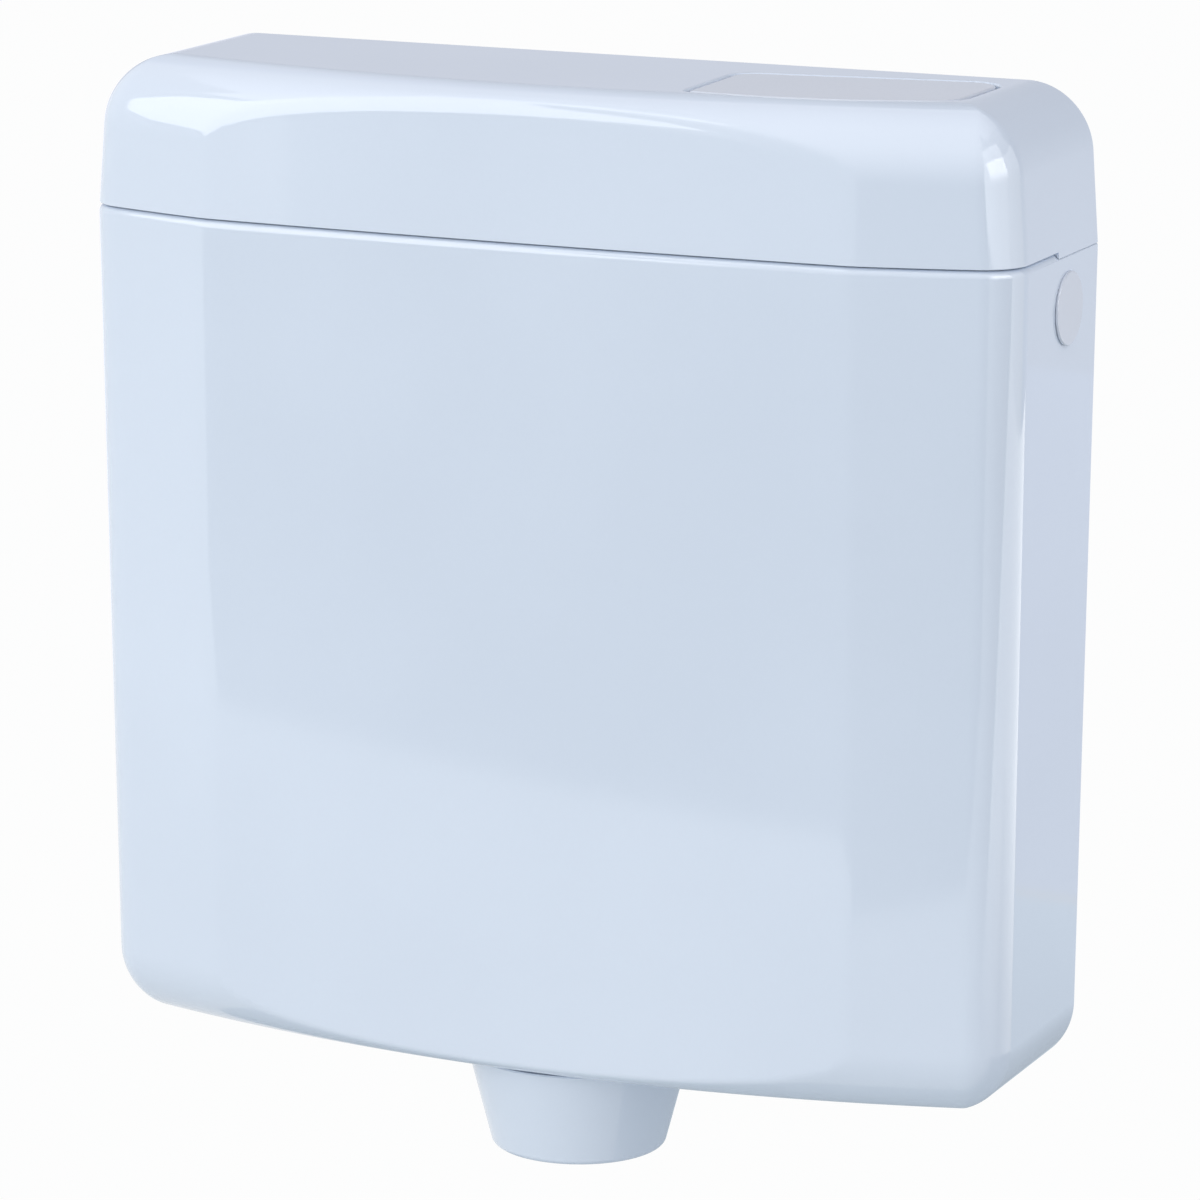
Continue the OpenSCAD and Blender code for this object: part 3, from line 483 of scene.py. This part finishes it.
def addBosses(tank, t):
    # thickened ring round each wall fixing, inside the back wall
    bm = bmesh.new()
    inner, outer, end, edge, wall = (
        t["fixingRadius"], t["bossRadius"], t["bossEnd"], t["bossEdge"], shell["wall"])
    profile = [(inner, end), (outer - edge, end), (outer, end + edge), (outer, -wall), (inner, -wall)]
    for side in (-1, 1):
        x, z = side * t["fixingX"], t["fixingZ"]
        turned(bm, [(x + r, y, z) for r, y in profile], (x, 0, z), (0, 1, 0), 48)
    joinInto(tank, intoMesh(bm, "bosses"))


def joinInto(thing, other):
    bm = bmesh.new()
    bm.from_mesh(thing.data)
    bm.from_mesh(other.data)
    bm.to_mesh(thing.data)
    bm.free()
    spare = other.data
    bpy.data.objects.remove(other)
    bpy.data.meshes.remove(spare)


finishPiece(makeTank(tankWork), "cistern", ["tank"], "shell")


# the push plate's outline is shared with the well in the lid
plateShape = {
    "points": [(59, -30), (165, -13), (165, -70), (112, -91), (61, -88)],
    "radii": [9, 12, 15, 150, 2], "steps": [10, 12, 12, 24, 6], "leastRadius": 0.2,
}


def plateWire(bm, z, grow):
    # the plate's outline, grown or shrunk all round
    before = set(bm.edges)
    points = [Vector(p) for p in plateShape["points"]]
    ends = []
    for i, (corner, radius) in enumerate(zip(points, plateShape["radii"])):
        back = (points[i - 1] - corner).normalized()
        on = (points[(i + 1) % len(points)] - corner).normalized()
        half = acos(back.dot(on)) / 2
        centre = corner + (back + on).normalized() * radius / sin(half)
        out = (corner + back * radius / tan(half) - centre).normalized()
        reach = max(radius + grow, plateShape["leastRadius"])
        start = bm.verts.new((centre.x + out.x * reach, centre.y + out.y * reach, z))
        end = swing(bm, start, (centre.x, centre.y, z), 2 * half - pi, plateShape["steps"][i])
        ends.append((start, end))
    for last, following in zip(ends[-1:] + ends, ends):
        bm.edges.new((last[1], following[0]))
    return newest(bm, before)


lidWork = {
    "sideRounding": 26.0, "frontRounding": 29.0, "edgeSteps": 72, "innerSteps": 16,
    "creaseTop": (10.0, 3.6, 1.2),
    "skirt": 342.5, "skirtEdge": 0.45, "footReach": 46.0, "footLow": 340.1, "footIn": 1.0,
    "plateGap": 1.9, "wellWall": 2.0, "wellDepth": 15.0, "wellEdge": 1.2, "wellSteps": 6, "spare": 1.0,
    "ribs": (-130, -75, -20), "ribDepth": 5.0, "ribWidth": 2.0, "ribEnd": 6.0,
}


def makeLid(t):
    bm = bmesh.new()
    top, wall = shell["top"], shell["wall"]
    inner, outer = [], []
    for drop in roundingLevels(t["frontRounding"] - wall, t["innerSteps"]):
        side, front = (roundedIn(t[key] - wall, drop) for key in ("sideRounding", "frontRounding"))
        z = top - wall - drop
        inner.append(section(bm, z, lidSize(z), wall, side, front))
    skirtIn = section(bm, t["skirt"], lidSize(t["skirt"]), wall)
    skirtOut = section(bm, t["skirt"], lidSize(t["skirt"]), 0)
    for drop in reversed(roundingLevels(t["frontRounding"], t["edgeSteps"])):
        side, front = (roundedIn(t[key], drop) for key in ("sideRounding", "frontRounding"))
        z = top - drop
        share = min(front / shell["panelCut"], 1)
        crease = [low + (high - low) * share for low, high in zip(shell["crease"], t["creaseTop"])]
        outer.append(section(bm, z, lidSize(z), 0, side, front, 0, crease))
    bridge(bm, inner + [skirtIn, skirtOut] + outer)
    cover(bm, outer[-1])
    cover(bm, inner[0])
    softEdges(bm, skirtOut, t["skirtEdge"])
    lid = intoMesh(bm, "lid_shell")
    addWell(lid, t)
    addFoot(lid, t)
    return lid


def addWell(lid, t):
    # hole for the push plate with a rounded mouth, and the walls that hang below it
    top, gap, edge, spare = shell["top"], t["plateGap"], t["wellEdge"], t["spare"]
    cut = bmesh.new()
    rings = [plateWire(cut, top + spare, gap + edge)]
    for a in quarter(t["wellSteps"]):
        rings.append(plateWire(cut, top - edge * (1 - cos(a)), gap + edge * (1 - sin(a))))
    rings.append(plateWire(cut, top - shell["wall"] - spare, gap))
    bridge(cut, rings)
    cover(cut, rings[0])
    cover(cut, rings[-1])
    cutAway(lid, cut)
    bm = bmesh.new()
    high, low, outside = top - shell["wall"], top - t["wellDepth"], gap + t["wellWall"]
    rings = [plateWire(bm, z, grow) for z, grow in ((high, gap), (low, gap), (low, outside), (high, outside))]
    bridge(bm, rings + rings[:1])
    joinInto(lid, intoMesh(bm, "well"))


def addFoot(lid, t):
    # strips that close the gap at the wall end, and ribs under the left half
    bm = bmesh.new()
    wall, skirt, low = shell["wall"], t["skirt"] + t["skirtEdge"], t["footLow"]
    at, tip = lidSize(skirt)[0], lidSize(low)[0]
    for side in (-1, 1):
        prism(bm, [(side * tip, 0, low), (side * at, 0, skirt), (side * (at - wall), 0, skirt)],
              (0, -t["footReach"], 0))
    end = at - t["footIn"]
    prism(bm, [(-end, 0, low), (-end, 0, skirt), (-end, -wall, skirt)], (2 * end, 0, 0))
    depth = lidSize(shell["top"])[1] - t["frontRounding"]
    high = shell["top"] - wall
    low = high - t["ribDepth"]
    for x in t["ribs"]:
        far = x + t["ribWidth"]
        prism(bm, [(x, -wall, high), (far, -wall, high), (far, -wall, low), (x, -wall, low)],
              (0, wall - depth + t["ribEnd"], 0))
    joinInto(lid, intoMesh(bm, "foot"))


finishPiece(makeLid(lidWork), "cover", ["lid"], "shell")

plateWork = {
    "top": 402.75, "thickness": 2.9, "skirt": 6.4, "skirtWall": 1.8, "edge": 1.0, "edgeSteps": 5,
    "hingeX": 152.0, "hingeZ": 392.8, "hingeY": -50.0, "hingeSpan": 16.0, "lugWidth": 8.0, "lugRadius": 4.6,
    "pinHole": 2.06, "webGap": 0.2, "pushX": 88.0, "bossRadius": 6.0, "bossDrop": 9.0, "rodHole": 3.06,
}


def makePlate(t):
    bm = bmesh.new()
    top, edge = t["top"], t["edge"]
    under = top - t["thickness"]
    rings = []
    for a in quarter(t["edgeSteps"]):
        rings.append(plateWire(bm, top - edge * (1 - cos(a)), -edge * (1 - sin(a))))
    rings.append(plateWire(bm, top - t["skirt"], 0))
    rings.append(plateWire(bm, top - t["skirt"], -t["skirtWall"]))
    rings.append(plateWire(bm, under, -t["skirtWall"]))
    bridge(bm, rings)
    cover(bm, rings[0])
    boss = [circle(bm, t["pushX"], t["hingeY"], z, r, 48) for z, r in (
        (under, t["bossRadius"]), (under - t["bossDrop"], t["bossRadius"]),
        (under - t["bossDrop"], t["rodHole"]), (under, t["rodHole"]))]
    bridge(bm, boss)
    cover(bm, boss[-1])
    cover(bm, rings[-1], boss[0])
    plate = intoMesh(bm, "push_plate_top")
    addLugs(plate, t, under)
    return plate


def addLugs(plate, t, under):
    # two hinge eyes, each hung on two webs below the plate
    bm = bmesh.new()
    x, z, hole, r, width = t["hingeX"], t["hingeZ"], t["pinHole"], t["lugRadius"], t["lugWidth"]
    web = hole + t["webGap"]
    for side in (-1, 1):
        y = t["hingeY"] + side * t["hingeSpan"]
        near, far = y - width / 2, y + width / 2
        eye = [(hole, near), (r, near), (r, far), (hole, far)]
        turned(bm, [(x + reach, at, z) for reach, at in eye], (x, y, z), (0, 1, 0), 40)
        for start in (x - r, x + web):
            end = start + r - web
            prism(bm, [(start, near, z), (end, near, z), (end, near, under), (start, near, under)],
                  (0, width, 0))
    joinInto(plate, intoMesh(bm, "lugs"))


finishPiece(makePlate(plateWork), "push_plate", ["flush_plate"], "plate")

nutWork = {
    "y": -50.0, "top": -0.6, "end": -41.4, "topRadius": 46.2, "endRadius": 35.0,
    "seat": -38.4, "sealTop": -36.0,
    "skin": 2.5, "way": 25.8, "wayEdge": 0.4, "collar": 30.0, "collarTop": -16.0,
    "foot": 3.2, "footSteps": 8, "footSet": 0.86, "rimEdge": 0.6, "rimIn": 0.15,
}


def makeNut(t):
    # conical nut with a rolled foot, open at the top, and its threaded collar inside
    bm = bmesh.new()
    top, end, wide, foot = t["top"], t["end"], t["topRadius"], t["foot"]
    slope = (wide - t["endRadius"]) / (top - end)
    arc = pi / 2 - atan2(slope, 1)
    middle = t["endRadius"] + slope * foot - foot * t["footSet"]
    profile = [(t["way"], end + t["wayEdge"]), (t["way"] + t["wayEdge"], end)]
    for i in range(t["footSteps"] + 1):
        a = -pi / 2 + i / t["footSteps"] * arc
        profile.append((middle + foot * cos(a), end + foot + foot * sin(a)))
    inside = t["endRadius"] - t["skin"] + slope * (t["sealTop"] - end)
    collar = t["collar"] + t["skin"]
    profile += [(wide - t["rimIn"], top - t["rimEdge"]), (wide - t["rimEdge"], top), (wide - t["skin"], top),
                (inside, t["sealTop"]), (collar, t["sealTop"]), (collar, t["collarTop"]),
                (t["collar"], t["collarTop"]), (t["collar"], t["seat"]), (t["way"], t["seat"])]
    turned(bm, [(r, t["y"], z) for r, z in profile], (0, t["y"], 0), (0, 0, 1), 128)
    return intoMesh(bm, "outlet_nut_cone")


finishPiece(makeNut(nutWork), "cistern", ["pipe_nut"], "shell", 40)

plugWork = {
    "y": -34.0, "z": 319.0, "gap": 0.25, "head": 1.0, "headRadius": 14.75,
    "edge": 0.6, "edgeSteps": 4, "rim": 0.6,
    "stem": 10.48, "stemEnd": -14.55, "stemWall": 3.0, "stemEdge": 1.0, "hollowEnd": -1.0,
    "dish": 0.12, "dishReach": 0.8, "dishRise": 0.4,
}


def makePlug(t):
    # flat headed plug with a hollow stem and a faint dish in its head
    bm = bmesh.new()
    face = tankSize(t["z"])[0]
    outer, wide, edge, stem = t["gap"] + t["head"], t["headRadius"], t["edge"], t["stem"]
    bore = stem - t["stemWall"]
    profile = [(0, outer - t["dish"]), (wide * t["dishReach"], outer - t["dish"] * t["dishRise"]),
               (wide - edge - t["rim"], outer)]
    for a in quarter(t["edgeSteps"]):
        profile.append((wide - edge * (1 - sin(a)), outer - edge * (1 - cos(a))))
    profile += [(wide, t["gap"]), (stem, t["gap"]), (stem, t["stemEnd"] + t["stemEdge"]),
                (stem - t["stemEdge"], t["stemEnd"]), (bore, t["stemEnd"]),
                (bore, t["hollowEnd"]), (0, t["hollowEnd"])]
    turned(bm, [(face + x, t["y"] - r, t["z"]) for r, x in profile], (face, t["y"], t["z"]), (1, 0, 0))
    return intoMesh(bm, "side_plug_disc")


finishPiece(makePlug(plugWork), "cistern", ["side_plug"], "plate", 40)

# the fittings keep their solids and take the finish of their slot
dressed = 0
for part in frame["record"]["subparts"]:
    mesh = frame["nodes"][part["node"]].data
    if part["material_slot"] not in ("shell", "plate"):
        mesh.materials.clear()
        mesh.materials.append(finishes[part["material_slot"]])
        dressed += 1
print("fittings finished:", dressed)

view = {
    "yaw": 23.511, "pitch": 12.396, "roll": -0.2943, "target": (0.012611, -0.06, -0.124328),
    "distance": 2.48215, "lens": 184.77, "sensor": 36.0,
}
yaw, pitch, roll = (radians(view[key]) for key in ("yaw", "pitch", "roll"))
backward = Vector((sin(yaw) * cos(pitch), -cos(yaw) * cos(pitch), sin(pitch)))
level = Vector((cos(yaw), sin(yaw), 0))
upright = backward.cross(level)
across = cos(roll) * level - sin(roll) * upright
upward = sin(roll) * level + cos(roll) * upright
lensData = bpy.data.cameras.new("camera")
lensData.lens = view["lens"]
lensData.sensor_width = view["sensor"]
lensData.sensor_fit = "HORIZONTAL"
camera = bpy.data.objects.new("camera", lensData)
spot = Vector(view["target"]) + backward * view["distance"]
camera.matrix_world = Matrix.Translation(spot) @ Matrix((across, upward, backward)).transposed().to_4x4()
bpy.context.scene.collection.objects.link(camera)
bpy.context.scene.camera = camera

floorWork = {
    "width": 24.0, "drop": -0.95, "pale": (0.625, 0.665, 0.67), "deep": (0.6, 0.64, 0.645), "clouds": 900,
    "rough": 0.9, "glow": 0.95,
}


def stageMesh(name, bm):
    # sheet of the studio, which isn't part of the object
    mesh = bpy.data.meshes.new(name)
    bm.to_mesh(mesh)
    bm.free()
    thing = bpy.data.objects.new(name, mesh)
    bpy.context.scene.collection.objects.link(thing)
    return thing


def card(name, width, height, matrix):
    bm = bmesh.new()
    bmesh.ops.create_grid(
        bm, x_segments=1, y_segments=1, size=0.5, matrix=matrix @ Matrix.Diagonal((width, height, 1, 1)))
    return stageMesh(name, bm)


floor = card("floor", floorWork["width"], floorWork["width"], Matrix.Translation((0, 0, floorWork["drop"])))
paving = Finish("floor_pale")
paving.dress(
    Base_Color=paving.blend(paving.noise(floorWork["clouds"]), floorWork["pale"], floorWork["deep"]),
    Roughness=floorWork["rough"], Specular_IOR_Level=0.0)
glow = paving.node("ShaderNodeEmission", {}, {"Color": (1, 1, 1, 1), "Strength": 1.0})
paving.end("Material Output", paving.node("ShaderNodeMixShader", {}, {
    0: paving.seen() * floorWork["glow"], 1: Line(paving, paving.shader.outputs[0]), 2: glow}))
floor.data.materials.append(paving.material)

# azimuth runs from the front to the right, and angles are in degrees as seen from the lid
studio = {
    "ambient": (0.95, 0.95, 0.97), "heart": (0, -0.1, 0.03),
    "fill": {
        "azimuth": -30, "elevation": 15, "distance": 3.0, "size": 1.6, "brightness": 3.3,
        "tint": (1.0, 1.0, 0.94)},
    "softboxes": [
        # name, distance, direction and ends of the fade as place and brightness,
        # and rows of elevation with both azimuths
        ("leftSoftbox", 3.0, "Z", (0, 4.2), (1, 4.2), [
            (-1, -46, -26), (4, -51, -21), (8, -56, -18.5), (12, -60.5, -16.5), (20, -66, -18.5),
            (30, -71, -26), (40, -74, -31), (50, -62, -39)]),
        ("leftUpper", 3.2, "Z", (2.3, 2.5), (3.1, 1.4), [(44, -80, -40), (60, -94, -46), (76, -120, -60)]),
        ("creaseSoftbox", 2.9, "Z", (0, 3.8), (1, 3.8), [(42, -52, -10), (58, -64, -12)]),
        ("rightSoftbox", 3.0, "Z", (0, 3.4), (1, 3.4), [(-4, 42, 94), (20, 42, 94), (48, 43, 96)]),
        ("rightLow", 2.4, "Z", (-0.93, 1.2), (-0.78, 3.0), [
            (-23.6, 60, 100), (-17, 80, 100), (-11.5, 94, 100)]),
        ("sideLow", 2.4, "Z", (-0.93, 0.9), (-0.7, 3.0), [(-23.6, 100, 149), (-11.5, 100, 149)]),
        ("rightCore", 2.3, "Z", (0.11, 3.4), (0.59, 8.0), [(2, 56, 95), (14, 54, 95), (30, 48, 92)]),
        ("sideSoftbox", 3.0, "Y", (0.2, 2.9), (2.2, 1.0), [(-22, 95, 110), (30, 95, 110)]),
        ("sideSoftboxEnd", 3.0, "Y", (0.2, 2.9), (2.2, 1.0), [(-22, 110, 132), (30, 110, 132)]),
        ("topSoftbox", 3.0, "Z", (0.13, 0.0), (2.15, 2.15), [
            (2, -13, 41), (20, -17, 41), (36, -24, 42), (48, -34, 43), (60, -48, 46),
            (72, -60, 50), (84, -70, 60)]),
    ],
    # the wall behind is a glowing sheet seen only in reflections, a painted reflection that is bright at its
    # foot, dim above, sooner on the right, and bright again at the top
    "wallSheet": {
        "middle": (0.0, 2.4, 2.35), "width": 6.0, "height": 5.7, "tint": (0.97, 1.0, 1.12),
        "left": (-0.8, -1.7), "foot": (-0.3, 0.69, -0.58), "rightDim": (0.69, 1.6, -0.32),
        "leftDim": (0.69, 1.5, 0.2), "head": (2.7, 4.3, 0.9)},
    "cards": [
        # name, middle, width, height, tilt, direction and ends of the fade, and tint
        ("topSheet", (-0.5, 0.9, 3.03), 4.2, 3.0, 0, "Y", (-0.4, 2.1), (1.6, 1.0), (1.0, 1.0, 1.03)),
        ("wallFoot", (0.0, 2.4, -0.72), 6.0, 0.44, 90, "Z", (-0.94, 0.93), (-0.5, 1.04), (1.0, 1.06, 1.24)),
        ("floorShade", (0.6, 1.07, -0.93), 2.4, 2.54, 0, "Y", (1.4, 0.45), (2.34, 0.98), (0.9, 1.03, 1.16)),
    ],
    "flags": [
        # name, middle, width, height, and shade of dark boards
        ("lowFlag", (-1.0, -2.3, -0.625), 2.8, 0.53, 0.01),
        ("midFlag", (-0.62, -2.3, -0.18), 1.5, 0.33, 0.5),
        ("cameraFlag", (1.1, -2.3, -0.40), 1.9, 1.06, 0.01),
    ],
}
heart = Vector(studio["heart"])


def outward(azimuth, elevation, distance):
    a, e = radians(azimuth), radians(elevation)
    return heart + Vector((sin(a) * cos(e), -cos(a) * cos(e), sin(e))) * distance


def mirrorOnly(thing):
    # boards and softboxes that show in reflections and nowhere else
    thing.visible_camera = thing.visible_diffuse = thing.visible_shadow = thing.visible_transmission = False


def glowing(thing, axis, low, high, tint=(1, 1, 1)):
    # light that fades along one axis between two pairs of place and brightness
    sheet = Finish(thing.name + "_glow")
    place = sheet.node("ShaderNodeSeparateXYZ", {}, {"Vector": sheet.place}, axis)
    share = sheet.node("ShaderNodeMapRange", {}, {"Value": place, "From Min": low[0], "From Max": high[0]})
    sheet.end("Material Output", sheet.node("ShaderNodeEmission", {}, {
        "Color": sheet.blend(share, *([level * tone for tone in tint] for at, level in (low, high))),
        "Strength": 1.0}))
    thing.data.materials.append(sheet.material)
    mirrorOnly(thing)


def softbox(name, distance, axis, low, high, rows):
    bm = bmesh.new()
    sides = [bm.edges.new([bm.verts.new(outward(azimuth, elevation, distance)) for azimuth in ends])
             for elevation, *ends in rows]
    for pair in zip(sides, sides[1:]):
        bmesh.ops.contextual_create(bm, geom=pair)
    glowing(stageMesh(name, bm), axis, low, high)


def leaning(middle, tilt):
    # a place for a card that lies flat at 0 degrees and stands at 90
    return Matrix.Translation(middle) @ Matrix.Rotation(radians(tilt), 4, "X")


for work in studio["softboxes"]:
    softbox(*work)

wall = studio["wallSheet"]
sheet = card("wallSheet", wall["width"], wall["height"], leaning(wall["middle"], 90))
mirrorOnly(sheet)
# painted reflection: the sheet's glow sets how bright the wall looks in the object's surfaces
wallReflectionGlow = Finish("wallSheet_glow")
aside, height = (wallReflectionGlow.node("ShaderNodeSeparateXYZ", {}, {"Vector": wallReflectionGlow.place}, axis) for axis in "XZ")


def along(value, start, end, amount=1):
    # grows from nothing to an amount between two places
    return amount * wallReflectionGlow.node("ShaderNodeMapRange", {}, {"Value": value, "From Min": start, "From Max": end})


left = along(aside, *wall["left"])
foot, rightDim, leftDim, head = (along(height, *wall[key]) for key in ("foot", "rightDim", "leftDim", "head"))
# brightness of the painted reflection at each height and side of the sheet
reflectionBrightness = 1 + foot + (1 - left) * rightDim + left * leftDim + head
wallReflectionGlow.end("Material Output", wallReflectionGlow.node("ShaderNodeEmission", {}, {
    "Color": wallReflectionGlow.blend(reflectionBrightness, (0, 0, 0), wall["tint"]), "Strength": 1.0}))
sheet.data.materials.append(wallReflectionGlow.material)

for name, middle, width, height, tilt, *fade in studio["cards"]:
    glowing(card(name, width, height, leaning(middle, tilt)), *fade)

# dark boards seen only in reflections paint shade into the object's surfaces, with a faint random waver in
# their tone
for name, middle, width, height, shade in studio["flags"]:
    flag = card(name, width, height, leaning(middle, 90))
    mirrorOnly(flag)
    flagShade = Finish(name + "_felt")
    reflectedShade = flagShade.blend(flagShade.noise(60), (shade,) * 3, (shade * 1.1,) * 3)
    flag.data.materials.append(flagShade.dress(Base_Color=reflectedShade, Roughness=1.0, Specular_IOR_Level=0.0))

fill = studio["fill"]
lamp = bpy.data.lights.new("leftFill", "AREA")
lamp.size = fill["size"]
lamp.energy = fill["brightness"] * pi * fill["size"] ** 2
lamp.color = fill["tint"]
holder = bpy.data.objects.new("leftFill", lamp)
place = outward(fill["azimuth"], fill["elevation"], fill["distance"])
holder.matrix_world = Matrix.Translation(place) @ (heart - place).to_track_quat("-Z", "Y").to_matrix().to_4x4()
holder.visible_camera = holder.visible_glossy = False
bpy.context.scene.collection.objects.link(holder)

world = bpy.data.worlds.new("studio")
bpy.context.scene.world = world
air = Nodes(world)
shades = [air.node("ShaderNodeBackground", {}, {"Color": (*tone, 1), "Strength": 1.0})
          for tone in (studio["ambient"], (1, 1, 1))]
air.end("World Output", air.node("ShaderNodeMixShader", {}, {0: air.seen(), 1: shades[0], 2: shades[1]}))
bpy.context.scene.view_settings.view_transform = "Standard"
print("camera, floor and light placed")
